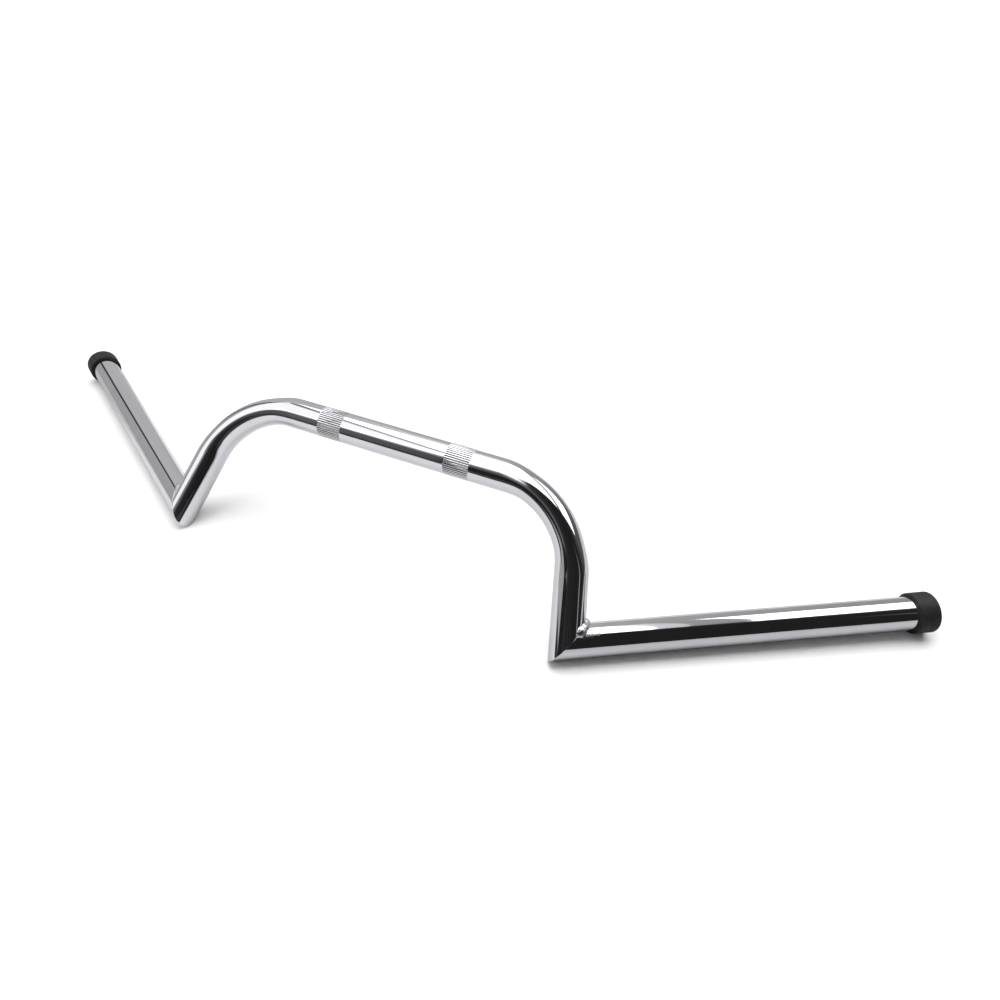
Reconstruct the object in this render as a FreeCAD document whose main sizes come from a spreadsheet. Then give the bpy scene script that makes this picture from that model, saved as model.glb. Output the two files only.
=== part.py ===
import FreeCAD, Part
import math
import os

import Sketcher
from FreeCAD import Placement, Rotation, Vector

doc = FreeCAD.newDocument("DragBar")

# Driving sizes in millimetres and degrees
sizes = doc.addObject("Spreadsheet::Sheet", "Sizes")
driving = [
    ("tube_diameter", 22.2),
    ("tube_wall", 2.0),
    ("clamp_straight", 160.0),
    ("bend_radius", 63.5),
    ("bend_angle", 77.0),
    ("upright_length", 41.5),
    ("arch_lean", 42.0),
    ("grip_sweep", 31.0),
    ("grip_length", 243.5),
    ("band_spacing", 98.5),
    ("band_length", 18.5),
    ("knurl_count", 44),
    ("knurl_width", 0.8),
    ("knurl_depth", 0.4),
    ("weld_leg", 3.4),
    ("weld_spread", 64.0),
    ("cap_clearance", 0.1),
    ("cap_wall", 2.1),
    ("cap_draft", 0.2),
    ("cap_depth", 11.8),
    ("cap_end_wall", 2.4),
    ("cap_rim_round", 1.4),
    ("cap_lip_round", 0.5),
]
for row, (alias, value) in enumerate(driving, start=1):
    sizes.set(f"A{row}", alias)
    sizes.set(f"B{row}", str(value))
    sizes.setAlias(f"B{row}", alias)
doc.recompute()


def size(alias):
    return float(sizes.get(alias))


def bind(thing, path, formula):
    thing.setExpression(path, formula)


def origin_feature(body, role):
    return next(f for f in body.Origin.OriginFeatures if f.Role == role)


def sketch_on(body, name, role):
    sketch = body.newObject("Sketcher::SketchObject", name)
    sketch.AttachmentSupport = [(origin_feature(body, role), "")]
    sketch.MapMode = "FlatFace"
    return sketch


def name_constraint(sketch, constraint, name, formula):
    index = sketch.addConstraint(constraint)
    sketch.renameConstraint(index, name)
    bind(sketch, f"Constraints.{name}", formula)


# Centreline of one side: the clamp straight, the bend, the upright to its mitred corner, the grip
tube_radius = size("tube_diameter") / 2
half_straight = size("clamp_straight") / 2
bend_turn = math.radians(size("bend_angle"))
lean_turn = Rotation(Vector(1, 0, 0), -size("arch_lean"))

# Tube ends are drawn past the corner and sawn off there by blocks that span the whole mitre
overrun_share = 1.5
block_share = 6
overrun = overrun_share * size("tube_diameter")
overrun_formula = f"{overrun_share} * Sizes.tube_diameter"
block_formula = f"{block_share} * Sizes.tube_diameter"
block_reach = block_share * size("tube_diameter") / 2

bend_end = Vector(
    half_straight + size("bend_radius") * math.sin(bend_turn),
    0,
    -size("bend_radius") * (1 - math.cos(bend_turn)),
)
upright_in_arch = Vector(math.cos(bend_turn), 0, -math.sin(bend_turn))
upright_way = lean_turn.multVec(upright_in_arch)
corner = lean_turn.multVec(bend_end + upright_in_arch * size("upright_length"))
sweep_turn = Rotation(Vector(0, 0, 1), size("grip_sweep"))
grip_way = sweep_turn.multVec(Vector(1, 0, 0))

# The mitre plane halves the corner, its outer direction points at the sharp tip
mitre_normal = (upright_way + grip_way).normalize()
mitre_outer = (upright_way - grip_way).normalize()
mitre_side = mitre_normal.cross(mitre_outer)
mitre_turn = Rotation(mitre_outer, mitre_side, mitre_normal, "ZXY")
half_corner = math.acos(-upright_way.dot(grip_way)) / 2


def ring_sketch(body, name, role):
    # Section of the tube: outer and inner circle round the axis
    sketch = sketch_on(body, name, role)
    for index, (tag, formula) in enumerate([
        ("outer", "Sizes.tube_diameter"),
        ("inner", "Sizes.tube_diameter - 2 * Sizes.tube_wall"),
    ]):
        start = tube_radius - index * size("tube_wall")
        sketch.addGeometry(Part.Circle(Vector(), Vector(0, 0, 1), start))
        sketch.addConstraint(Sketcher.Constraint("Coincident", index, 3, -1, 1))
        name_constraint(sketch, Sketcher.Constraint("Diameter", index, 2 * start), tag, formula)
    return sketch


# Arched centre tube, drawn in its own plane and leaned forward about the clamp axis
arch = doc.addObject("PartDesign::Body", "Arch")

path = sketch_on(arch, "ArchPath", "XZ_Plane")
bend_centre = Vector(half_straight, -size("bend_radius"), 0)
bend_circle = Part.Circle(bend_centre, Vector(0, 0, 1), size("bend_radius"))
bend_foot = Vector(bend_end.x, bend_end.z, 0)
upright_line = Vector(math.cos(bend_turn), -math.sin(bend_turn), 0)
upright_drawn = size("upright_length") + overrun
path.addGeometry([
    Part.LineSegment(Vector(), Vector(half_straight, 0, 0)),
    Part.ArcOfCircle(bend_circle, math.pi / 2 - bend_turn, math.pi / 2),
    Part.LineSegment(bend_foot, bend_foot + upright_line * upright_drawn),
])
path.addConstraint([
    Sketcher.Constraint("Coincident", 0, 1, -1, 1),
    Sketcher.Constraint("Horizontal", 0),
    Sketcher.Constraint("Tangent", 0, 2, 1, 2),
    Sketcher.Constraint("Tangent", 1, 1, 2, 1),
])
name_constraint(path, Sketcher.Constraint("DistanceX", 0, 1, 0, 2, half_straight),
                "half_straight", "Sizes.clamp_straight / 2")
name_constraint(path, Sketcher.Constraint("Radius", 1, size("bend_radius")),
                "bend_radius", "Sizes.bend_radius")
name_constraint(path, Sketcher.Constraint("Angle", 2, -bend_turn),
                "bend_angle", "-Sizes.bend_angle * 1 deg")
name_constraint(path, Sketcher.Constraint("Distance", 2, upright_drawn),
                "upright", f"Sizes.upright_length + {overrun_formula}")

section = ring_sketch(arch, "ArchSection", "YZ_Plane")
doc.recompute()

arch_half = arch.newObject("PartDesign::AdditivePipe", "ArchHalf")
arch_half.Profile = section
arch_half.Spine = (path, ["Edge1", "Edge2", "Edge3"])
doc.recompute()

arch_whole = arch.newObject("PartDesign::Mirrored", "ArchWhole")
arch_whole.Originals = [arch_half]
arch_whole.MirrorPlane = (origin_feature(arch, "YZ_Plane"), [""])
arch.Tip = arch_whole
doc.recompute()

# Straight knurling: one groove cut along the axis, repeated round each clamp band
groove = sketch_on(arch, "KnurlGroove", "YZ_Plane")
bind(groove, "AttachmentOffset.Base.z", "(Sizes.band_spacing - Sizes.band_length) / 2")
mouth = tube_radius + size("knurl_depth")
root = tube_radius - size("knurl_depth")
half_mouth = size("knurl_width")
groove.addGeometry([
    Part.LineSegment(Vector(-half_mouth, mouth, 0), Vector(half_mouth, mouth, 0)),
    Part.LineSegment(Vector(half_mouth, mouth, 0), Vector(0, root, 0)),
    Part.LineSegment(Vector(0, root, 0), Vector(-half_mouth, mouth, 0)),
])
groove.addConstraint([
    Sketcher.Constraint("Coincident", 0, 2, 1, 1),
    Sketcher.Constraint("Coincident", 1, 2, 2, 1),
    Sketcher.Constraint("Coincident", 2, 2, 0, 1),
    Sketcher.Constraint("PointOnObject", 1, 2, -2),
    Sketcher.Constraint("Symmetric", 0, 1, 0, 2, -2),
])
name_constraint(groove, Sketcher.Constraint("DistanceX", 0, 1, 0, 2, 2 * half_mouth),
                "mouth_width", "2 * Sizes.knurl_width")
name_constraint(groove, Sketcher.Constraint("DistanceY", -1, 1, 1, 2, root),
                "root_radius", "Sizes.tube_diameter / 2 - Sizes.knurl_depth")
name_constraint(groove, Sketcher.Constraint("DistanceY", -1, 1, 0, 1, mouth),
                "mouth_radius", "Sizes.tube_diameter / 2 + Sizes.knurl_depth")
doc.recompute()

plain_volume = arch_whole.Shape.Volume
cut = arch.newObject("PartDesign::Pocket", "KnurlCut")
cut.Profile = groove
cut.Type = "Length"
cut.Reversed = True
bind(cut, "Length", "Sizes.band_length")
arch.Tip = cut
doc.recompute()
if cut.Shape.Volume > plain_volume - 1e-3:
    raise RuntimeError("the knurl groove cuts nothing")

knurl = arch.newObject("PartDesign::MultiTransform", "Knurl")
knurl.Originals = [cut]
round_band = arch.newObject("PartDesign::PolarPattern", "RoundBand")
round_band.Axis = (origin_feature(arch, "X_Axis"), [""])
round_band.Angle = 360
bind(round_band, "Occurrences", "Sizes.knurl_count")
other_band = arch.newObject("PartDesign::Mirrored", "OtherBand")
other_band.MirrorPlane = (origin_feature(arch, "YZ_Plane"), [""])
knurl.Transformations = [round_band, other_band]
arch.Tip = knurl
arch.Placement = Placement(Vector(), lean_turn)
doc.recompute()


def mirrored(source, label):
    # The left side repeats the right one across the middle of the bar
    twin = doc.addObject("Part::Mirroring", label)
    twin.Source = source
    twin.Normal = (1, 0, 0)
    twin.Base = (0, 0, 0)
    return twin


def mitre_block(name, side):
    # Block with one face in the mitre plane, on the outgoing (1) or the incoming (-1) side of it
    block = doc.addObject("Part::Box", name)
    for edge in ("Length", "Width", "Height"):
        bind(block, edge, block_formula)
    shift = Vector(-block_reach, -block_reach, 0 if side > 0 else -2 * block_reach)
    block.Placement = Placement(corner, mitre_turn) * Placement(shift, Rotation())
    return block


def cut_off(base, tool, label):
    piece = doc.addObject("Part::Cut", label)
    piece.Base = base
    piece.Tool = tool
    return piece


# Both ends of the arch are sawn off in the mitre planes
right_saw = mitre_block("RightUprightSaw", 1)
left_saw = mirrored(right_saw, "LeftUprightSaw")
right_sawn = cut_off(arch, right_saw, "ArchSawnRight")
centre_bend_tube = cut_off(right_sawn, left_saw, "centre_bend_tube")

# Straight grip tube, sawn off in the same mitre plane and open at its far end
grip = doc.addObject("PartDesign::Body", "Grip")
grip_section = ring_sketch(grip, "GripSection", "YZ_Plane")
bind(grip_section, "AttachmentOffset.Base.z", f"-{overrun_formula}")
doc.recompute()
grip_pad = grip.newObject("PartDesign::Pad", "GripTube")
grip_pad.Profile = grip_section
grip_pad.Type = "Length"
bind(grip_pad, "Length", f"Sizes.grip_length + {overrun_formula}")
grip.Placement = Placement(corner, sweep_turn)
grip_saw = mitre_block("GripSaw", -1)
right_grip_tube = cut_off(grip, grip_saw, "right_grip_tube")
left_grip_tube = mirrored(right_grip_tube, "left_grip_tube")

# Fillet weld: a round bead run along the inner half of the mitre seam, outside both tubes
seam_place = Placement(corner, mitre_turn)
seam_half_length = tube_radius / math.sin(half_corner)
seam = doc.addObject("Part::Ellipse", "WeldSeam")
bind(seam, "MajorRadius", f"Sizes.tube_diameter / 2 / {math.sin(half_corner)}")
bind(seam, "MinorRadius", "Sizes.tube_diameter / 2")
bind(seam, "Angle1", "(180 - Sizes.weld_spread) * 1 deg")
bind(seam, "Angle2", "(180 + Sizes.weld_spread) * 1 deg")
seam.Placement = seam_place

bead_ends = []
for turn in (-1, 1):
    angle = math.pi + turn * math.radians(size("weld_spread"))
    point = Vector(seam_half_length * math.cos(angle), tube_radius * math.sin(angle), 0)
    along = Vector(-seam_half_length * math.sin(angle), tube_radius * math.cos(angle), 0)
    bead_ends.append((point, along))

start_point, start_along = bead_ends[0]
bead_section = doc.addObject("Part::Circle", "WeldSection")
bind(bead_section, "Radius", "Sizes.weld_leg")
bead_section.Placement = seam_place * Placement(start_point, Rotation(Vector(0, 0, 1), start_along))

bead_run = doc.addObject("Part::Sweep", "WeldRun")
bead_run.Sections = [bead_section]
bead_run.Spine = (seam, ["Edge1"])
bead_run.Solid = True
bead_run.Frenet = True

bead_parts = [bead_run]
for number, (point, along) in enumerate(bead_ends):
    tip = doc.addObject("Part::Sphere", f"WeldTip{number}")
    bind(tip, "Radius", "Sizes.weld_leg")
    tip.Placement = seam_place * Placement(point, Rotation(Vector(0, 0, 1), along))
    bead_parts.append(tip)
bead = doc.addObject("Part::MultiFuse", "WeldBead")
bead.Shapes = bead_parts

cores = []
for name, way in (("UprightCore", upright_way), ("GripCore", grip_way)):
    core = doc.addObject("Part::Cylinder", name)
    bind(core, "Radius", "Sizes.tube_diameter / 2")
    bind(core, "Height", block_formula)
    start = corner - way * block_reach
    core.Placement = Placement(start, Rotation(Vector(0, 0, 1), way))
    cores.append(core)
bead_over_upright = cut_off(bead, cores[0], "WeldOverUpright")
right_corner_weld = cut_off(bead_over_upright, cores[1], "right_corner_weld")
left_corner_weld = mirrored(right_corner_weld, "left_corner_weld")

# Push-on end cap: a moulded cup turned about the grip's axis, its mouth towards the corner
cap = doc.addObject("PartDesign::Body", "Cap")
profile = sketch_on(cap, "CapProfile", "XY_Plane")
bore = tube_radius + size("cap_clearance")
mouth_outer = bore + size("cap_wall")
end_outer = mouth_outer + size("cap_draft")
depth = size("cap_depth")
length = depth + size("cap_end_wall")
outline = [(0, bore), (depth, bore), (depth, 0), (length, 0), (length, end_outer), (0, mouth_outer)]
points = [Vector(x, y, 0) for x, y in outline]
for here, there in zip(points, points[1:] + points[:1]):
    profile.addGeometry(Part.LineSegment(here, there))
for index in range(len(points)):
    following = (index + 1) % len(points)
    profile.addConstraint(Sketcher.Constraint("Coincident", index, 2, following, 1))
profile.addConstraint([
    Sketcher.Constraint("Horizontal", 0),
    Sketcher.Constraint("Vertical", 1),
    Sketcher.Constraint("Horizontal", 2),
    Sketcher.Constraint("Vertical", 3),
    Sketcher.Constraint("Vertical", 5),
    Sketcher.Constraint("PointOnObject", 0, 1, -2),
    Sketcher.Constraint("PointOnObject", 2, 1, -1),
])
name_constraint(profile, Sketcher.Constraint("DistanceY", -1, 1, 0, 1, bore),
                "bore_radius", "Sizes.tube_diameter / 2 + Sizes.cap_clearance")
name_constraint(profile, Sketcher.Constraint("DistanceX", 0, 1, 0, 2, depth),
                "bore_depth", "Sizes.cap_depth")
name_constraint(profile, Sketcher.Constraint("DistanceX", 2, 1, 2, 2, size("cap_end_wall")),
                "end_wall", "Sizes.cap_end_wall")
name_constraint(profile, Sketcher.Constraint("DistanceY", 5, 2, 5, 1, size("cap_wall")),
                "mouth_wall", "Sizes.cap_wall")
name_constraint(profile, Sketcher.Constraint("DistanceY", 4, 2, 4, 1, size("cap_draft")),
                "draft", "Sizes.cap_draft")
doc.recompute()

cup = cap.newObject("PartDesign::Revolution", "Cup")
cup.Profile = profile
cup.ReferenceAxis = (origin_feature(cap, "X_Axis"), [""])
cup.Angle = 360
doc.recompute()


def ring_edge(shape, place, radius):
    # Name of the circular edge of that radius whose centre lies that far along the axis
    for number, edge in enumerate(shape.Edges, start=1):
        curve = edge.Curve
        if not isinstance(curve, Part.Circle):
            continue
        if abs(curve.Radius - radius) < 1e-4 and abs(curve.Center.x - place) < 1e-4:
            return f"Edge{number}"
    raise RuntimeError("the cap has no such edge")


rim = cap.newObject("PartDesign::Fillet", "CapRim")
rim.Base = (cup, [ring_edge(cup.Shape, length, end_outer)])
bind(rim, "Radius", "Sizes.cap_rim_round")
doc.recompute()
lip = cap.newObject("PartDesign::Fillet", "CapLip")
lip.Base = (rim, [ring_edge(rim.Shape, 0, mouth_outer)])
bind(lip, "Radius", "Sizes.cap_lip_round")
cap.Tip = lip
cap.Label = "right_end_cap"
cap_start = corner + grip_way * (size("grip_length") - size("cap_depth"))
cap.Placement = Placement(cap_start, sweep_turn)
left_end_cap = mirrored(cap, "left_end_cap")

doc.recompute()

# Every object has to be sound before the sub-parts are written
failed = [thing.Name for thing in doc.Objects if {"Invalid", "Error"} & set(thing.State)]
if failed:
    raise RuntimeError("failed objects: " + ", ".join(failed))

sub_parts = [
    centre_bend_tube,
    right_grip_tube,
    left_grip_tube,
    right_corner_weld,
    left_corner_weld,
    cap,
    left_end_cap,
]
os.makedirs("parts", exist_ok=True)
for piece in sub_parts:
    shape = piece.Shape
    if shape.isNull() or not shape.isValid() or len(shape.Solids) != 1:
        raise RuntimeError(piece.Label + " is not one sound solid")
for piece in sub_parts:
    piece.Shape.exportStep(f"parts/{piece.Label}.step")
    print(piece.Label, "volume in mm3:", round(piece.Shape.Volume, 1))
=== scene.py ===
import bpy
import bmesh
from math import acos, atan2, cos, pi, radians, sin
from mathutils import Matrix, Quaternion, Vector


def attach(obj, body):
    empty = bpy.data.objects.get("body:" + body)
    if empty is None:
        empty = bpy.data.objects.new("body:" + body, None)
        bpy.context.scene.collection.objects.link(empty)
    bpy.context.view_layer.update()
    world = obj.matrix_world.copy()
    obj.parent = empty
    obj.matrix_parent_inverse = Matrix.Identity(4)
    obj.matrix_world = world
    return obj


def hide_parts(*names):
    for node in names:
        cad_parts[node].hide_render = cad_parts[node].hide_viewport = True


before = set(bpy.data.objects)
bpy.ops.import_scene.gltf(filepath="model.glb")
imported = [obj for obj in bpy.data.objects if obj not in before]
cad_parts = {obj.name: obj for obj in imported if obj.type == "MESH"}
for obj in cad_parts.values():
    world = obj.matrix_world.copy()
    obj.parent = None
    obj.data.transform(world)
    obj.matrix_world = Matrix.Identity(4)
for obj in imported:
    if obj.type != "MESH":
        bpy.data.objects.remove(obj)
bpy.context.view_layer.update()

print("frame loaded:", ", ".join(sorted(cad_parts)))

# sizes of the bar, in metres and degrees, as in the part
bar = {
    "tubeRadius": 0.0111,
    "halfStraight": 0.080,
    "bendRadius": 0.0635,
    "bendAngle": 77.0,
    "uprightLength": 0.0415,
    "archLean": 42.0,
    "gripSweep": 31.0,
    "gripLength": 0.2435,
    "overrun": 0.034,      # tube drawn past the corner before it is sawn off
}


# directions and corner of the right side, the left side is its mirror image
def rightSide():
    turn = radians(bar["bendAngle"])
    lean = Matrix.Rotation(-radians(bar["archLean"]), 3, "X")
    upright = lean @ Vector((cos(turn), 0, -sin(turn)))
    bendFoot = Vector((
        bar["halfStraight"] + bar["bendRadius"] * sin(turn),
        0,
        -bar["bendRadius"] * (1 - cos(turn)),
    ))
    corner = lean @ bendFoot + upright * bar["uprightLength"]
    sweep = radians(bar["gripSweep"])
    grip = Vector((cos(sweep), sin(sweep), 0))
    mitre = (upright + grip).normalized()
    outer = (upright - grip).normalized()
    halfCorner = acos(-upright.dot(grip)) / 2
    return {"upright": upright, "corner": corner, "grip": grip, "mitre": mitre,
            "inner": -outer, "across": mitre.cross(outer), "halfCorner": halfCorner}


side = rightSide()
restLevel = side["corner"].z - bar["tubeRadius"]


# how near counts as the same place, in metres, or the same angle, in radians
near = {
    "cut": 0.000001,
    "merge": 0.000002,
    "end": 0.00001,
    "ring": 0.00002,
    "angle": 0.001,
}


# small helpers for working by hand in code
def clearSelection():
    if bpy.context.object and bpy.context.object.mode != "OBJECT":
        bpy.ops.object.mode_set(mode="OBJECT")
    bpy.ops.object.select_all(action="DESELECT")


def makeOnly(obj):
    clearSelection()
    obj.select_set(True)
    bpy.context.view_layer.objects.active = obj


def applyPlace(obj):
    makeOnly(obj)
    bpy.ops.object.transform_apply(location=True, rotation=True, scale=True)


def applyModifier(obj, kind, **settings):
    makeOnly(obj)
    modifier = obj.modifiers.new(kind.title(), kind)
    for key, value in settings.items():
        setattr(modifier, key, value)
    bpy.ops.object.modifier_apply(modifier=modifier.name)


def editMesh(obj, mode):
    makeOnly(obj)
    bpy.ops.object.mode_set(mode="EDIT")
    bpy.ops.mesh.select_mode(type=mode)
    bpy.ops.mesh.select_all(action="DESELECT")
    return bmesh.from_edit_mesh(obj.data)


def pick(obj, elements, wanted):
    # selects the elements that pass the test
    for element in elements:
        if wanted(element):
            element.select_set(True)
    bmesh.from_edit_mesh(obj.data).select_flush(True)
    bmesh.update_edit_mesh(obj.data)


def faceOutwards(obj):
    editMesh(obj, "VERT")
    bpy.ops.mesh.select_all(action="SELECT")
    bpy.ops.mesh.remove_doubles(threshold=near["merge"])
    bpy.ops.mesh.normals_make_consistent(inside=False)
    bpy.ops.object.mode_set(mode="OBJECT")


def mirrorOver(obj):
    # turned over across the middle of the bar
    obj.scale.x = -1
    applyPlace(obj)
    faceOutwards(obj)


def mirrorCopy(obj, name):
    # the twin has its own mesh
    makeOnly(obj)
    bpy.ops.object.duplicate(linked=False)
    twin = bpy.context.object
    twin.name = name
    twin.data.name = name
    mirrorOver(twin)
    return twin


def smoothShade(obj, angle):
    makeOnly(obj)
    bpy.ops.object.shade_smooth_by_angle(angle=radians(angle), keep_sharp_edges=True)


def finishPiece(obj, material, node):
    obj.data.materials.clear()
    obj.data.materials.append(material)
    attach(obj, "root")
    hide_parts(node)


# shader helpers
def newGroup(name, inputs, outputs):
    group = bpy.data.node_groups.new(name, "ShaderNodeTree")
    for label, kind, start in inputs:
        socket = group.interface.new_socket(label, in_out="INPUT", socket_type=kind)
        socket.default_value = start
    for label, kind in outputs:
        group.interface.new_socket(label, in_out="OUTPUT", socket_type=kind)
    entry = group.nodes.new("NodeGroupInput")
    leave = group.nodes.new("NodeGroupOutput")
    return group, entry, leave


def newMaterial(name):
    material = bpy.data.materials.new(name)
    material.use_nodes = True
    nodes = material.node_tree.nodes
    return material, nodes, material.node_tree.links, nodes["Principled BSDF"]


def addGroup(nodes, group, **values):
    node = nodes.new("ShaderNodeGroup")
    node.node_tree = group
    for key, value in values.items():
        node.inputs[key].default_value = value
    return node


def mathNode(nodes, operation, first=None, second=None):
    node = nodes.new("ShaderNodeMath")
    node.operation = operation
    for socket, value in ((0, first), (1, second)):
        if value is not None:
            node.inputs[socket].default_value = value
    return node


def rangeNode(nodes, low, high, toLow, toHigh):
    node = nodes.new("ShaderNodeMapRange")
    node.interpolation_type = "SMOOTHSTEP"
    for name, value in (("From Min", low), ("From Max", high), ("To Min", toLow), ("To Max", toHigh)):
        node.inputs[name].default_value = value
    return node


def mixNode(nodes, kind, first=None, second=None):
    # a mix of two colours (RGBA) or two values (FLOAT), with its sockets by name
    node = nodes.new("ShaderNodeMix")
    node.data_type = kind
    one, two, out = (6, 7, 2) if kind == "RGBA" else (2, 3, 0)
    sockets = {"share": node.inputs[0], "first": node.inputs[one],
               "second": node.inputs[two], "result": node.outputs[out]}
    for name, value in (("first", first), ("second", second)):
        if value is not None:
            sockets[name].default_value = value
    return sockets


def bumpNode(nodes, strength, distance):
    node = nodes.new("ShaderNodeBump")
    node.inputs["Strength"].default_value = strength
    node.inputs["Distance"].default_value = distance
    return node


# soft patches left by handling and polishing
smudgeLook = {
    "detail": 6.0,
    "roughness": 0.62,
    "distortion": 0.4,
    "from": 0.34,          # stretch of the noise that is spread out over the whole range
    "to": 0.68,
}


def makeSmudgeGroup():
    group, entry, leave = newGroup(
        "smudges",
        [("Vector", "NodeSocketVector", (0, 0, 0)), ("Scale", "NodeSocketFloat", 40.0),
         ("Low", "NodeSocketFloat", 0.0), ("High", "NodeSocketFloat", 1.0)],
        [("Value", "NodeSocketFloat")])
    nodes, links = group.nodes, group.links
    noise = nodes.new("ShaderNodeTexNoise")
    for name in ("detail", "roughness", "distortion"):
        noise.inputs[name.title()].default_value = smudgeLook[name]
    spread = nodes.new("ShaderNodeMapRange")
    spread.inputs["From Min"].default_value = smudgeLook["from"]
    spread.inputs["From Max"].default_value = smudgeLook["to"]
    links.new(entry.outputs["Vector"], noise.inputs["Vector"])
    links.new(entry.outputs["Scale"], noise.inputs["Scale"])
    links.new(noise.outputs["Fac"], spread.inputs["Value"])
    links.new(entry.outputs["Low"], spread.inputs["To Min"])
    links.new(entry.outputs["High"], spread.inputs["To Max"])
    links.new(spread.outputs["Result"], leave.inputs["Value"])
    return group


# fine specks: dust on rubber, pinholes in plating
def makeSpeckGroup():
    group, entry, leave = newGroup(
        "specks",
        [("Vector", "NodeSocketVector", (0, 0, 0)), ("Scale", "NodeSocketFloat", 900.0),
         ("Size", "NodeSocketFloat", 0.12)],
        [("Mask", "NodeSocketFloat")])
    nodes, links = group.nodes, group.links
    cells = nodes.new("ShaderNodeTexVoronoi")
    inside = rangeNode(nodes, 0.0, 1.0, 1.0, 0.0)
    links.new(entry.outputs["Vector"], cells.inputs["Vector"])
    links.new(entry.outputs["Scale"], cells.inputs["Scale"])
    links.new(cells.outputs["Distance"], inside.inputs["Value"])
    links.new(entry.outputs["Size"], inside.inputs["From Max"])
    links.new(inside.outputs["Result"], leave.inputs["Mask"])
    return group


smudges = makeSmudgeGroup()
specks = makeSpeckGroup()

# straight knurling, two bands on the clamp straight
knurl = {
    "bandSpacing": 0.0985,
    "bandLength": 0.0185,
    "ridges": 44,
    "ridgeVerts": 8,
    "crest": 0.2,          # share of a ridge that stays up, the rest falls away to the groove
    "depth": 0.0004,
    "flank": 1.5,          # power of the fall, which hollows the flanks
    "runOut": 0.00025,     # short slope at each end of a groove
    "shadeFrom": 0.00010,   # depth at which the painted shade in the groove starts
    "shadeTo": 0.00028,
}


# painted shade at the bottom of the knurl's grooves: below a set depth the plate is coloured near black
def makeGrooveGroup():
    group, entry, leave = newGroup(
        "paintedGrooveShade",
        [("Vector", "NodeSocketVector", (0, 0, 0))],
        [("Mask", "NodeSocketFloat")])
    nodes, links = group.nodes, group.links
    parts = nodes.new("ShaderNodeSeparateXYZ")
    flat = nodes.new("ShaderNodeCombineXYZ")
    reach = nodes.new("ShaderNodeVectorMath")
    reach.operation = "LENGTH"
    deep = rangeNode(nodes, bar["tubeRadius"] - knurl["shadeTo"], bar["tubeRadius"] - knurl["shadeFrom"],
                     1.0, 0.0)
    along = mathNode(nodes, "ABSOLUTE")
    inBand = mathNode(nodes, "LESS_THAN", second=(knurl["bandSpacing"] + knurl["bandLength"]) / 2)
    both = mathNode(nodes, "MULTIPLY")
    links.new(entry.outputs["Vector"], parts.inputs[0])
    links.new(parts.outputs["Y"], flat.inputs["Y"])
    links.new(parts.outputs["Z"], flat.inputs["Z"])
    links.new(flat.outputs[0], reach.inputs[0])
    links.new(reach.outputs["Value"], deep.inputs["Value"])
    links.new(parts.outputs["X"], along.inputs[0])
    links.new(along.outputs[0], inBand.inputs[0])
    links.new(deep.outputs["Result"], both.inputs[0])
    links.new(inBand.outputs[0], both.inputs[1])
    links.new(both.outputs[0], leave.inputs["Mask"])
    return group


paintedGrooveShade = makeGrooveGroup()

chromeLook = {
    "plate": (0.74, 0.737, 0.765, 1),
    "plateDull": (0.68, 0.678, 0.71, 1),
    "roughLow": 0.025,
    "roughHigh": 0.07,
    "smudgeScale": 34.0,
    "toneShare": 0.4,      # the tone changes over larger patches than the roughness
    # painted shade: near-black colour for the bottom of the knurl's grooves
    "groove": (0.012, 0.012, 0.013, 1),
    "grooveRough": 0.35,
}


def makeChrome():
    material, nodes, links, surface = newMaterial("polishedChrome")
    place = nodes.new("ShaderNodeTexCoord")
    rough = addGroup(nodes, smudges, Scale=chromeLook["smudgeScale"],
                     Low=chromeLook["roughLow"], High=chromeLook["roughHigh"])
    tone = addGroup(nodes, smudges, Scale=chromeLook["smudgeScale"] * chromeLook["toneShare"],
                    Low=0.0, High=1.0)
    groove = addGroup(nodes, paintedGrooveShade)
    plate = mixNode(nodes, "RGBA", chromeLook["plate"], chromeLook["plateDull"])
    # painted shade: the plate colour goes over into near black deep in the knurl's grooves
    grooveShadeTint = mixNode(nodes, "RGBA", second=chromeLook["groove"])
    dull = mixNode(nodes, "FLOAT", second=chromeLook["grooveRough"])
    for group in (rough, tone, groove):
        links.new(place.outputs["Object"], group.inputs["Vector"])
    links.new(tone.outputs["Value"], plate["share"])
    links.new(groove.outputs["Mask"], grooveShadeTint["share"])
    links.new(plate["result"], grooveShadeTint["first"])
    links.new(groove.outputs["Mask"], dull["share"])
    links.new(rough.outputs["Value"], dull["first"])
    links.new(grooveShadeTint["result"], surface.inputs["Base Color"])
    links.new(dull["result"], surface.inputs["Roughness"])
    surface.inputs["Metallic"].default_value = 1.0
    return material


weldLook = {
    "plate": (0.72, 0.72, 0.735, 1),
    "pit": (0.30, 0.30, 0.32, 1),
    "pitScale": 700.0,
    "pitSize": 0.16,
    "roughScale": 260.0,
    "roughLow": 0.06,
    "roughHigh": 0.2,
    "rippleScale": 900.0,
    "rippleHeight": 0.00018,
    "rippleStrength": 0.6,
}


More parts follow.
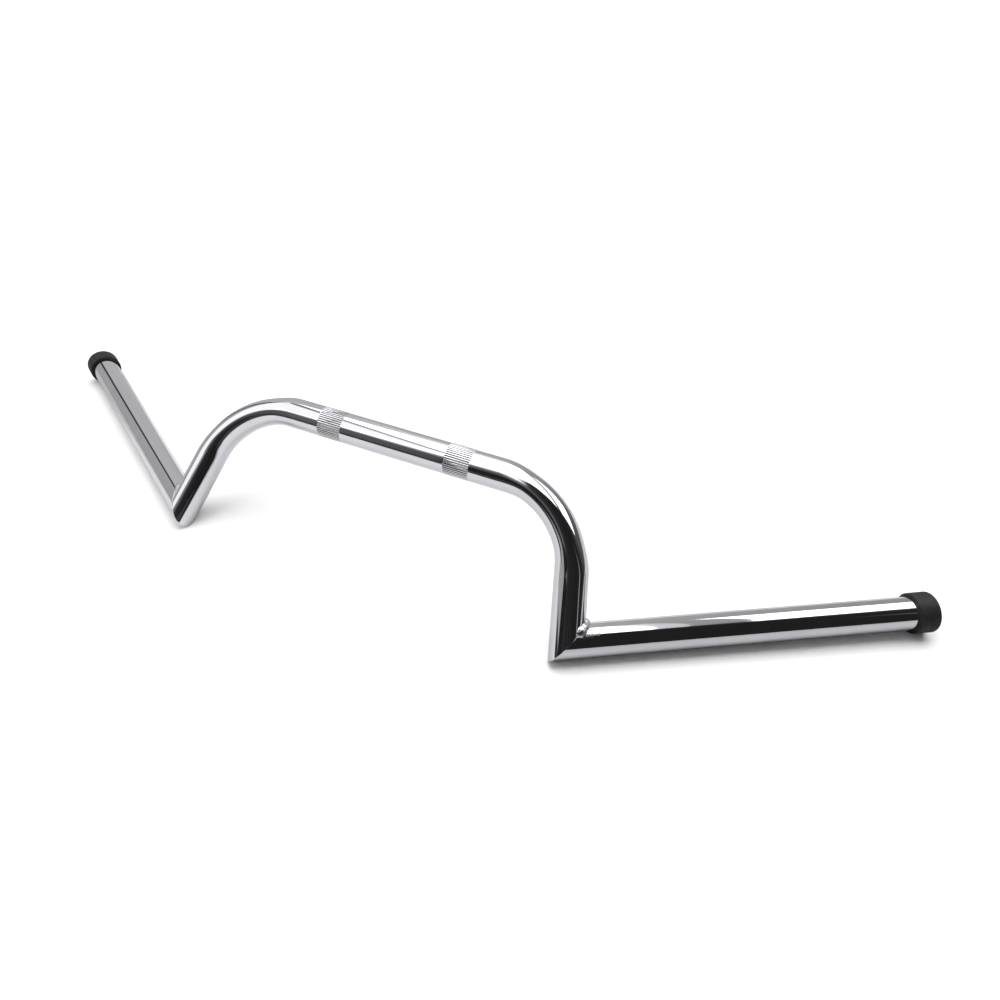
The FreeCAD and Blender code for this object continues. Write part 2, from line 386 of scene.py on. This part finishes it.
def makeWeldChrome():
    material, nodes, links, surface = newMaterial("weldChrome")
    place = nodes.new("ShaderNodeTexCoord")
    rough = addGroup(nodes, smudges, Scale=weldLook["roughScale"],
                     Low=weldLook["roughLow"], High=weldLook["roughHigh"])
    ripple = addGroup(nodes, smudges, Scale=weldLook["rippleScale"], Low=0.0, High=1.0)
    pits = addGroup(nodes, specks, Scale=weldLook["pitScale"], Size=weldLook["pitSize"])
    plate = mixNode(nodes, "RGBA", weldLook["plate"], weldLook["pit"])
    bump = bumpNode(nodes, weldLook["rippleStrength"], weldLook["rippleHeight"])
    for group in (rough, ripple, pits):
        links.new(place.outputs["Object"], group.inputs["Vector"])
    links.new(pits.outputs["Mask"], plate["share"])
    links.new(plate["result"], surface.inputs["Base Color"])
    links.new(rough.outputs["Value"], surface.inputs["Roughness"])
    links.new(ripple.outputs["Value"], bump.inputs["Height"])
    links.new(bump.outputs["Normal"], surface.inputs["Normal"])
    surface.inputs["Metallic"].default_value = 1.0
    return material


rubberLook = {
    "black": (0.005, 0.005, 0.006, 1),
    "grey": (0.013, 0.013, 0.014, 1),
    "toneScale": 120.0,
    "dust": (0.12, 0.12, 0.12, 1),
    "dustScale": 1100.0,
    "dustSize": 0.1,
    "roughScale": 220.0,
    "roughLow": 0.52,
    "roughHigh": 0.72,
    "grainScale": 1500.0,
    "grainHeight": 0.00006,
    "grainStrength": 0.5,
    "shine": 0.45,
}


def makeRubber():
    material, nodes, links, surface = newMaterial("mattRubber")
    place = nodes.new("ShaderNodeTexCoord")
    tone = addGroup(nodes, smudges, Scale=rubberLook["toneScale"], Low=0.0, High=1.0)
    grain = addGroup(nodes, smudges, Scale=rubberLook["grainScale"], Low=0.0, High=1.0)
    rough = addGroup(nodes, smudges, Scale=rubberLook["roughScale"],
                     Low=rubberLook["roughLow"], High=rubberLook["roughHigh"])
    dust = addGroup(nodes, specks, Scale=rubberLook["dustScale"], Size=rubberLook["dustSize"])
    body = mixNode(nodes, "RGBA", rubberLook["black"], rubberLook["grey"])
    dusty = mixNode(nodes, "RGBA", second=rubberLook["dust"])
    bump = bumpNode(nodes, rubberLook["grainStrength"], rubberLook["grainHeight"])
    for group in (tone, grain, rough, dust):
        links.new(place.outputs["Object"], group.inputs["Vector"])
    links.new(tone.outputs["Value"], body["share"])
    links.new(body["result"], dusty["first"])
    links.new(dust.outputs["Mask"], dusty["share"])
    links.new(dusty["result"], surface.inputs["Base Color"])
    links.new(rough.outputs["Value"], surface.inputs["Roughness"])
    links.new(grain.outputs["Value"], bump.inputs["Height"])
    links.new(bump.outputs["Normal"], surface.inputs["Normal"])
    surface.inputs["Specular IOR Level"].default_value = rubberLook["shine"]
    return material


chrome = makeChrome()
weldChrome = makeWeldChrome()
rubber = makeRubber()
print("finishes made")

# arched centre tube: half of it is drawn in its own plane, leaned over, sawn off and mirrored
centreTube = {
    "bendSteps": 40,
    "flattening": 0.11,    # a bent tube goes oval: narrower in its plane, a little wider across
    "widening": 0.05,
    "easeOver": 0.25,      # share of the bend over which the oval comes in at each end
    "edgeRound": 0.00008,  # the ground mitre edge isn't quite sharp
    "edgeSegments": 2,
    "support": 0.0006,     # loop this far from an edge, so that long faces shade straight
    "shadeAngle": 24,
}


def extrudeAlong(way):
    bpy.ops.mesh.extrude_region_move(TRANSFORM_OT_translate={"value": tuple(way)})


def sawOff(obj, place, normal, dropInner, roundOff):
    # cuts the open end at the mitre, closes it, adds a support loop and breaks its edge
    editMesh(obj, "VERT")
    bpy.ops.mesh.select_all(action="SELECT")
    bpy.ops.mesh.bisect(plane_co=place, plane_no=normal, use_fill=True,
                        clear_inner=dropInner, clear_outer=not dropInner)
    inwards = normal if dropInner else -normal
    editMesh(obj, "VERT")
    bpy.ops.mesh.select_all(action="SELECT")
    bpy.ops.mesh.bisect(plane_co=place + inwards * (roundOff + centreTube["support"]), plane_no=normal)
    bm = editMesh(obj, "EDGE")
    pick(obj, bm.edges, lambda e: all(abs((v.co - place).dot(normal)) < near["cut"] for v in e.verts))
    bpy.ops.mesh.bevel(offset=roundOff, segments=centreTube["edgeSegments"], affect="EDGES")
    bpy.ops.object.mode_set(mode="OBJECT")


def cutKnurl(tube, bandStart, bandEnd):
    # V grooves between rounded crests: points past the crest are drawn in, most in the middle
    radius = bar["tubeRadius"]
    ridgeVerts = knurl["ridgeVerts"]
    step = 2 * pi / (knurl["ridges"] * ridgeVerts)
    for away in range(1, ridgeVerts // 2 + 1):
        bm = editMesh(tube, "VERT")

        def atDistance(vert):
            if not bandStart + near["cut"] < vert.co.x < bandEnd - near["cut"]:
                return False
            number = round(atan2(vert.co.y, vert.co.z) / step) % ridgeVerts
            return min(number, ridgeVerts - number) == away

        pick(tube, bm.verts, atDistance)
        fall = (2 * away / ridgeVerts - knurl["crest"]) / (1 - knurl["crest"])
        drawIn = knurl["depth"] * fall ** knurl["flank"]
        shrink = (radius - drawIn) / radius
        bpy.ops.transform.resize(value=(1, shrink, shrink), center_override=(0, 0, 0))
    bpy.ops.object.mode_set(mode="OBJECT")


def flattenBend(tube):
    # each ring of the bend is squeezed in the plane of the bend, most in the middle
    turn = radians(bar["bendAngle"])
    steps = centreTube["bendSteps"]
    middle = Vector((bar["halfStraight"], 0, -bar["bendRadius"]))
    for number in range(1, steps):
        angle = turn * number / steps
        share = min(1, min(number, steps - number) / (steps * centreTube["easeOver"]))
        share = share * share * (3 - 2 * share)
        bm = editMesh(tube, "VERT")

        def onRing(vert):
            way = vert.co - middle
            return way.length > bar["tubeRadius"] and abs(atan2(way.x, way.z) - angle) < near["angle"]

        pick(tube, bm.verts, onRing)
        along = Vector((cos(angle), 0, -sin(angle)))
        outward = Vector((sin(angle), 0, cos(angle)))
        bpy.ops.transform.resize(
            value=(1, 1 + centreTube["widening"] * share, 1 - centreTube["flattening"] * share),
            orient_type="GLOBAL", orient_matrix_type="GLOBAL",
            orient_matrix=(along, (0, 1, 0), outward),
            center_override=middle + outward * bar["bendRadius"])
    bpy.ops.object.mode_set(mode="OBJECT")


def makeCentreTube():
    bpy.ops.mesh.primitive_circle_add(vertices=knurl["ridges"] * knurl["ridgeVerts"],
                                      radius=bar["tubeRadius"], rotation=(0, pi / 2, 0))
    tube = bpy.context.object
    tube.name = "centreTube"
    applyPlace(tube)
    editMesh(tube, "VERT")
    bpy.ops.mesh.select_all(action="SELECT")
    bandStart = (knurl["bandSpacing"] - knurl["bandLength"]) / 2
    bandEnd = bandStart + knurl["bandLength"]
    here = 0.0
    for stop in (bandStart - centreTube["support"], bandStart, bandStart + knurl["runOut"],
                 bandEnd - knurl["runOut"], bandEnd, bandEnd + centreTube["support"],
                 bar["halfStraight"]):
        extrudeAlong((stop - here, 0, 0))
        here = stop
    turn = radians(bar["bendAngle"])
    bpy.ops.mesh.spin(steps=centreTube["bendSteps"], angle=turn,
                      center=(bar["halfStraight"], 0, -bar["bendRadius"]), axis=(0, -1, 0))
    reach = bar["uprightLength"] + bar["overrun"]
    extrudeAlong((cos(turn) * reach, 0, -sin(turn) * reach))
    flattenBend(tube)
    cutKnurl(tube, bandStart, bandEnd)
    tube.rotation_euler.x = -radians(bar["archLean"])
    applyPlace(tube)
    sawOff(tube, side["corner"], side["mitre"], False, centreTube["edgeRound"])
    applyModifier(tube, "MIRROR", use_axis=(True, False, False), merge_threshold=near["end"])
    faceOutwards(tube)
    smoothShade(tube, centreTube["shadeAngle"])
    finishPiece(tube, chrome, "centre_bend_tube")


makeCentreTube()
print("centre tube done")

gripTube = {
    "roundVerts": 160,
    "edgeRound": 0.00008,
    "shadeAngle": 24,
}


def makeGripTube():
    bpy.ops.mesh.primitive_circle_add(vertices=gripTube["roundVerts"], radius=bar["tubeRadius"],
                                      location=(-bar["overrun"], 0, 0), rotation=(0, pi / 2, 0))
    tube = bpy.context.object
    tube.name = "rightGripTube"
    applyPlace(tube)
    editMesh(tube, "VERT")
    bpy.ops.mesh.select_all(action="SELECT")
    extrudeAlong((bar["overrun"] + bar["gripLength"], 0, 0))
    bpy.ops.mesh.edge_face_add()
    bpy.ops.object.mode_set(mode="OBJECT")
    tube.rotation_euler.z = radians(bar["gripSweep"])
    tube.location = side["corner"]
    applyPlace(tube)
    sawOff(tube, side["corner"], side["mitre"], True, gripTube["edgeRound"])
    faceOutwards(tube)
    smoothShade(tube, gripTube["shadeAngle"])
    return tube


rightGrip = makeGripTube()
leftGrip = mirrorCopy(rightGrip, "leftGripTube")
finishPiece(rightGrip, chrome, "right_grip_tube")
finishPiece(leftGrip, chrome, "left_grip_tube")
print("grip tubes done")

# weld bead: overlapping drops laid along the inner half of the mitre seam, melted together
weld = {
    "drops": 8,
    "spread": 46.0,
    "leg": 0.0048,
    "sinkMiddle": 0.42,    # how deep the drops sit, in legs; towards the ends the corner is flatter
    "sinkEnd": 0.70,
    "dropSegments": 32,
    "splashRadius": 0.006,
    "splashTurn": 60.0,    # further round to the front than the bead
    "splashSegments": 48,
    "grain": 0.00022,
    "meltStep": 0.5,
    "shadeAngle": 80,
}
# the right bead ends at the front in a larger drop and a splash: reach along the grip, rise over it
rightBead = {"name": "rightCornerWeld", "unevenness": 0.07, "lastDrop": 1.20, "melting": 30,
             "splash": [(0.0035, 0.0006), (0.0070, 0.00045), (0.0110, 0.0003)]}
leftBead = {"name": "leftCornerWeld", "unevenness": 0.03, "lastDrop": 0.85, "melting": 70,
            "splash": []}


def addBall(place, radius, segments):
    bpy.ops.mesh.primitive_uv_sphere_add(segments=segments, ring_count=segments // 2, radius=radius,
                                         location=place)
    return bpy.context.object


def splashPlace(turn, seamHalf, reach, rise):
    # middle of a ball that stands out of the grip tube by the rise
    seam = side["inner"] * seamHalf * cos(turn) + side["across"] * bar["tubeRadius"] * sin(turn)
    onAxis = side["grip"] * seam.dot(side["grip"])
    outwards = (seam - onAxis).normalized()
    depth = bar["tubeRadius"] + rise - weld["splashRadius"]
    return side["corner"] + onAxis + side["grip"] * reach + outwards * depth


def makeWeld(settings):
    seamHalf = bar["tubeRadius"] / sin(side["halfCorner"])
    drops = []
    clearSelection()
    for number in range(weld["drops"]):
        share = 2 * number / (weld["drops"] - 1) - 1
        turn = radians(weld["spread"]) * share
        outwards = side["inner"] * cos(turn) + side["across"] * sin(turn)
        sink = weld["sinkMiddle"] + (weld["sinkEnd"] - weld["sinkMiddle"]) * share ** 2
        place = (side["corner"] + side["inner"] * seamHalf * cos(turn)
                 + side["across"] * bar["tubeRadius"] * sin(turn) - outwards * sink * weld["leg"])
        # two waves out of step, so that no drop is quite like the next
        wobble = sin(number * 2.4) + 0.6 * sin(number * 5.1 + 1)
        size = weld["leg"] * (1 + settings["unevenness"] * wobble)
        if number == 0:
            size = weld["leg"] * settings["lastDrop"]
        drops.append(addBall(place, size, weld["dropSegments"]))
    for reach, rise in settings["splash"]:
        place = splashPlace(-radians(weld["splashTurn"]), seamHalf, reach, rise)
        drops.append(addBall(place, weld["splashRadius"], weld["splashSegments"]))
    clearSelection()
    for drop in drops:
        drop.select_set(True)
    bpy.context.view_layer.objects.active = drops[0]
    bpy.ops.object.join()
    bead = bpy.context.object
    bead.name = settings["name"]
    applyPlace(bead)
    applyModifier(bead, "REMESH", mode="VOXEL", voxel_size=weld["grain"])
    applyModifier(bead, "SMOOTH", factor=weld["meltStep"], iterations=settings["melting"])
    faceOutwards(bead)
    smoothShade(bead, weld["shadeAngle"])
    return bead


rightWeld = makeWeld(rightBead)
leftWeld = makeWeld(leftBead)
mirrorOver(leftWeld)
finishPiece(rightWeld, weldChrome, "right_corner_weld")
finishPiece(leftWeld, weldChrome, "left_corner_weld")
print("weld beads done")

# push-on end cap
endCap = {
    "clearance": 0.0001,
    "wall": 0.0021,
    "draft": 0.0002,
    "depth": 0.0118,
    "endWall": 0.0024,
    "rimRound": 0.0014,
    "rimSegments": 6,
    "lipRound": 0.0005,
    "lipSegments": 4,
    "roundVerts": 128,
    "shadeAngle": 35,
}


def makeCap():
    bore = bar["tubeRadius"] + endCap["clearance"]
    mouthOuter = bore + endCap["wall"]
    endOuter = mouthOuter + endCap["draft"]
    length = endCap["depth"] + endCap["endWall"]
    bpy.ops.mesh.primitive_cylinder_add(vertices=endCap["roundVerts"], radius=endOuter, depth=length,
                                        location=(length / 2, 0, 0), rotation=(0, pi / 2, 0))
    cap = bpy.context.object
    cap.name = "rightEndCap"
    applyPlace(cap)
    # the mouth is a little narrower than the closed end
    bm = editMesh(cap, "VERT")
    pick(cap, bm.verts, lambda v: v.co.x < near["end"])
    draw = mouthOuter / endOuter
    bpy.ops.transform.resize(value=(1, draw, draw), center_override=(0, 0, 0))
    # the bore, sunk into the face at the mouth
    bm = editMesh(cap, "FACE")
    pick(cap, bm.faces, lambda f: f.normal.x < -0.9)
    bpy.ops.mesh.inset(thickness=endCap["wall"])
    extrudeAlong((endCap["depth"], 0, 0))
    # rounded rim and lip
    for place, ring, edge in ((length, endOuter, "rim"), (0.0, mouthOuter, "lip")):
        bm = editMesh(cap, "EDGE")
        pick(cap, bm.edges, lambda e: all(
            abs(v.co.x - place) < near["end"] and abs(v.co.yz.length - ring) < near["ring"]
            for v in e.verts))
        bpy.ops.mesh.bevel(offset=endCap[edge + "Round"], segments=endCap[edge + "Segments"],
                           affect="EDGES")
    bpy.ops.object.mode_set(mode="OBJECT")
    cap.rotation_euler.z = radians(bar["gripSweep"])
    cap.location = side["corner"] + side["grip"] * (bar["gripLength"] - endCap["depth"])
    applyPlace(cap)
    faceOutwards(cap)
    smoothShade(cap, endCap["shadeAngle"])
    return cap


rightCap = makeCap()
leftCap = mirrorCopy(rightCap, "leftEndCap")
finishPiece(rightCap, rubber, "right_end_cap")
finishPiece(leftCap, rubber, "left_end_cap")
print("end caps done")

# floor: the bar lies on its two corners and the rims of its caps
floor = {
    "size": 12.0,
    "white": (0.90, 0.90, 0.905, 1),
    "roughness": 0.9,
    "liftNear": 0.02,
    "liftFar": 0.9,
    "fadeFrom": 0.45,
    "fadeTo": 1.5,
    "inMetal": 0.80,       # painted reflection: how bright the metal sees the floor, and how it fades greyer to both sides
    "leftShare": 0.66,
    "leftFrom": -0.26,
    "leftTo": -0.36,
    "rightShare": 0.72,
    "rightFrom": 0.08,
    "rightTo": 0.22,
}


def makeFloor():
    capDrop = endCap["clearance"] + endCap["wall"] + endCap["draft"]
    tilt = capDrop / (bar["gripLength"] * side["grip"].y)
    level = Vector((0, side["corner"].y, restLevel))
    bpy.ops.mesh.primitive_plane_add(size=floor["size"], location=level, rotation=(-tilt, 0, 0))
    sheet = bpy.context.object
    sheet.name = "studioFloor"
    material, nodes, links, surface = newMaterial("studioWhite")
    surface.inputs["Roughness"].default_value = floor["roughness"]
    surface.inputs["Specular IOR Level"].default_value = 0.0
    surface.inputs["Emission Color"].default_value = (1, 1, 1, 1)
    path = nodes.new("ShaderNodeLightPath")
    place = nodes.new("ShaderNodeTexCoord")
    # further off the floor goes over into a plain white ground
    away = nodes.new("ShaderNodeVectorMath")
    away.operation = "LENGTH"
    fade = rangeNode(nodes, floor["fadeFrom"], floor["fadeTo"], floor["liftNear"], floor["liftFar"])
    seen = mathNode(nodes, "MAXIMUM")
    lift = mathNode(nodes, "MULTIPLY")
    links.new(place.outputs["Object"], away.inputs[0])
    links.new(away.outputs["Value"], fade.inputs["Value"])
    links.new(path.outputs["Is Camera Ray"], seen.inputs[0])
    links.new(path.outputs["Is Transmission Ray"], seen.inputs[1])
    links.new(seen.outputs[0], lift.inputs[0])
    links.new(fade.outputs["Result"], lift.inputs[1])
    links.new(lift.outputs[0], surface.inputs["Emission Strength"])
    # painted reflection: for glossy rays only the floor's colour is darker, and greyer still to both
    # sides, so the metal mirrors a greyer floor than the camera sees
    parts = nodes.new("ShaderNodeSeparateXYZ")
    left = rangeNode(nodes, floor["leftTo"], floor["leftFrom"], floor["leftShare"], 1.0)
    right = rangeNode(nodes, floor["rightFrom"], floor["rightTo"], floor["inMetal"],
                      floor["inMetal"] * floor["rightShare"])
    grey = mathNode(nodes, "MULTIPLY")
    shade = mixNode(nodes, "FLOAT", first=1.0)
    tint = mixNode(nodes, "RGBA", (0, 0, 0, 1), floor["white"])
    ground = mixNode(nodes, "RGBA", second=(1, 1, 1, 1))
    links.new(place.outputs["Object"], parts.inputs[0])
    links.new(parts.outputs["X"], left.inputs["Value"])
    links.new(parts.outputs["X"], right.inputs["Value"])
    links.new(left.outputs["Result"], grey.inputs[0])
    links.new(right.outputs["Result"], grey.inputs[1])
    links.new(path.outputs["Is Glossy Ray"], shade["share"])
    links.new(grey.outputs[0], shade["second"])
    links.new(shade["result"], tint["share"])
    links.new(seen.outputs[0], ground["share"])
    links.new(tint["result"], ground["first"])
    links.new(ground["result"], surface.inputs["Base Color"])
    sheet.data.materials.append(material)


makeFloor()

# three ceiling lights end to end, set across the bar, with gaps between them; the middle one ends dim
# along and across are measured on the ceiling, from above the middle of the bar
lights = {
    "height": 1.0,
    "turn": 30.0,
    "twinDrop": 0.01,
    "panels": [
        {"name": "left", "along": (-4.5, -0.52), "across": (-0.60, 0.78), "light": 1.25, "shine": 0.85},
        {"name": "middle", "along": (-0.40, 0.48), "across": (-0.20, 0.78), "light": 3.5, "shine": 2.2},
        {"name": "middleEnd", "along": (0.48, 0.55), "across": (-0.20, 0.78), "light": 1.2, "shine": 0.4},
        {"name": "right", "along": (0.68, 1.8), "across": (-0.20, 0.78), "light": 3.5, "shine": 2.2},
    ],
}


def makeLights():
    turn = radians(lights["turn"])
    alongWay = Vector((cos(turn), sin(turn), 0))
    acrossWay = Vector((-sin(turn), cos(turn), 0))
    for panel in lights["panels"]:
        length = panel["along"][1] - panel["along"][0]
        width = panel["across"][1] - panel["across"][0]
        place = alongWay * sum(panel["along"]) / 2 + acrossWay * sum(panel["across"]) / 2
        place.z = restLevel + lights["height"]
        # one lamp lights the floor, its twin just below is what the metal mirrors
        for use, drop in (("light", 0.0), ("shine", lights["twinDrop"])):
            place.z -= drop
            bpy.ops.object.light_add(type="AREA", location=place, rotation=(0, 0, turn))
            lamp = bpy.context.object
            lamp.name = panel["name"] + use.title()
            lamp.data.shape = "RECTANGLE"
            lamp.data.size = length
            lamp.data.size_y = width
            lamp.data.energy = panel[use] * pi * length * width
            lamp.visible_diffuse = use == "light"
            lamp.visible_glossy = use == "shine"


makeLights()

# dark cards that stand in front, to the left of the camera, and only show in the metal: painted dark
# reflections, hidden from the camera, from shadows and from diffuse light
darkCards = [
    {"name": "lowCard", "from": (-0.30, -0.33), "to": (0.02, -0.28), "height": 0.085, "tone": 0.05},
    {"name": "tallCard", "from": (-0.08, -0.315), "to": (0.08, -0.29), "height": 0.215, "tone": 0.015},
]


def makeDarkCards():
    for sheet in darkCards:
        material, _, _, surface = newMaterial(sheet["name"])
        surface.inputs["Base Color"].default_value = (sheet["tone"],) * 3 + (1,)
        surface.inputs["Roughness"].default_value = 1.0
        surface.inputs["Specular IOR Level"].default_value = 0.0
        start, end = Vector(sheet["from"]), Vector(sheet["to"])
        way = end - start
        middle = (start + end) / 2
        bpy.ops.mesh.primitive_plane_add(
            size=1, location=(middle.x, middle.y, restLevel + sheet["height"] / 2),
            rotation=(pi / 2, 0, atan2(way.y, way.x)))
        card = bpy.context.object
        card.name = sheet["name"]
        card.scale = (way.length, sheet["height"], 1)
        card.data.materials.append(material)
        card.visible_camera = False
        card.visible_shadow = False
        card.visible_diffuse = False


makeDarkCards()

# room round the bar, each wall with its compass angle and its brightness low down and high up
room = {
    "riseFrom": 0.40,      # upward share of the view at which low starts to go over into high
    "riseTo": 0.75,
    "walls": [
        # grey on the left, then a bright window high up
        (-180, 0.45, 0.50), (-150, 0.43, 0.50), (-131, 0.40, 0.45),
        (-127, 0.18, 2.4), (-121, 0.12, 1.5), (-114, 0.10, 0.4),
        # dark behind the camera, with three bright slits low down
        (-108, 0.07, 0.05), (-102, 0.03, 0.03),
        (-76, 0.018, 0.018), (-74, 0.18, 0.018), (-72, 0.018, 0.018),
        (-57, 0.018, 0.018), (-55, 0.11, 0.018), (-53, 0.018, 0.018),
        (-13, 0.018, 0.018), (-10, 0.50, 0.018), (-7, 0.018, 0.018),
        # lighter from the right round to the back, where one corner is dark
        (5, 0.02, 0.02), (18, 0.06, 0.05), (30, 0.10, 0.34), (55, 0.14, 0.40), (80, 0.34, 0.40),
        (100, 0.46, 0.45), (118, 0.56, 1.2), (128, 0.56, 0.62), (154.5, 0.56, 0.60),
        (156, 0.05, 0.05), (162.5, 0.05, 0.05), (164.5, 0.45, 0.50), (180, 0.45, 0.50),
    ],
}


def wallCurve(nodes, column):
    curve = nodes.new("ShaderNodeFloatCurve")
    line = curve.mapping.curves[0]
    walls = room["walls"]
    curve.mapping.clip_max_y = max(1.0, max(wall[column] for wall in walls))
    for number, wall in enumerate(walls):
        spot = ((wall[0] + 180) / 360, wall[column])
        if number in (0, len(walls) - 1):
            line.points[0 if number == 0 else -1].location = spot
        else:
            line.points.new(*spot)
    for point in line.points:
        point.handle_type = "VECTOR"
    curve.mapping.update()
    return curve


def makeRoom():
    world = bpy.data.worlds.new("studioRoom")
    bpy.context.scene.world = world
    world.use_nodes = True
    nodes, links = world.node_tree.nodes, world.node_tree.links
    back = nodes["Background"]
    way = nodes.new("ShaderNodeTexCoord")
    parts = nodes.new("ShaderNodeSeparateXYZ")
    compass = mathNode(nodes, "ARCTAN2")
    share = nodes.new("ShaderNodeMapRange")
    share.inputs["From Min"].default_value = -pi
    share.inputs["From Max"].default_value = pi
    low = wallCurve(nodes, 1)
    high = wallCurve(nodes, 2)
    rise = rangeNode(nodes, room["riseFrom"], room["riseTo"], 0.0, 1.0)
    walls = mixNode(nodes, "FLOAT")
    path = nodes.new("ShaderNodeLightPath")
    seen = mixNode(nodes, "FLOAT", second=1.0)
    links.new(way.outputs["Generated"], parts.inputs[0])
    links.new(parts.outputs["Y"], compass.inputs[0])
    links.new(parts.outputs["X"], compass.inputs[1])
    links.new(compass.outputs[0], share.inputs["Value"])
    links.new(share.outputs["Result"], low.inputs["Value"])
    links.new(share.outputs["Result"], high.inputs["Value"])
    links.new(parts.outputs["Z"], rise.inputs["Value"])
    links.new(rise.outputs["Result"], walls["share"])
    links.new(low.outputs["Value"], walls["first"])
    links.new(high.outputs["Value"], walls["second"])
    links.new(path.outputs["Is Camera Ray"], seen["share"])
    links.new(walls["result"], seen["first"])
    links.new(seen["result"], back.inputs["Strength"])
    back.inputs["Color"].default_value = (1, 1, 1, 1)


makeRoom()
print("floor, lights and room done")

# camera at the photograph's viewpoint
camera = {
    "place": (0.21386, -0.35709, 0.30719),
    "aim": (0.04536, 0.04215, -0.04501),
    "roll": 0.0319,
    "lens": 26.70,
    "sensor": 36,
    "shift": (0.0199, -0.0231),
    "nearest": 0.01,
}


def makeCamera():
    data = bpy.data.cameras.new("photoCamera")
    eye = bpy.data.objects.new("photoCamera", data)
    bpy.context.scene.collection.objects.link(eye)
    place = Vector(camera["place"])
    look = (Vector(camera["aim"]) - place).to_track_quat("-Z", "Y")
    eye.location = place
    eye.rotation_mode = "QUATERNION"
    eye.rotation_quaternion = look @ Quaternion((0, 0, 1), camera["roll"])
    data.sensor_width = camera["sensor"]
    data.lens = camera["lens"]
    data.shift_x, data.shift_y = camera["shift"]
    data.clip_start = camera["nearest"]
    bpy.context.scene.camera = eye


makeCamera()
bpy.context.scene.view_settings.view_transform = "Standard"
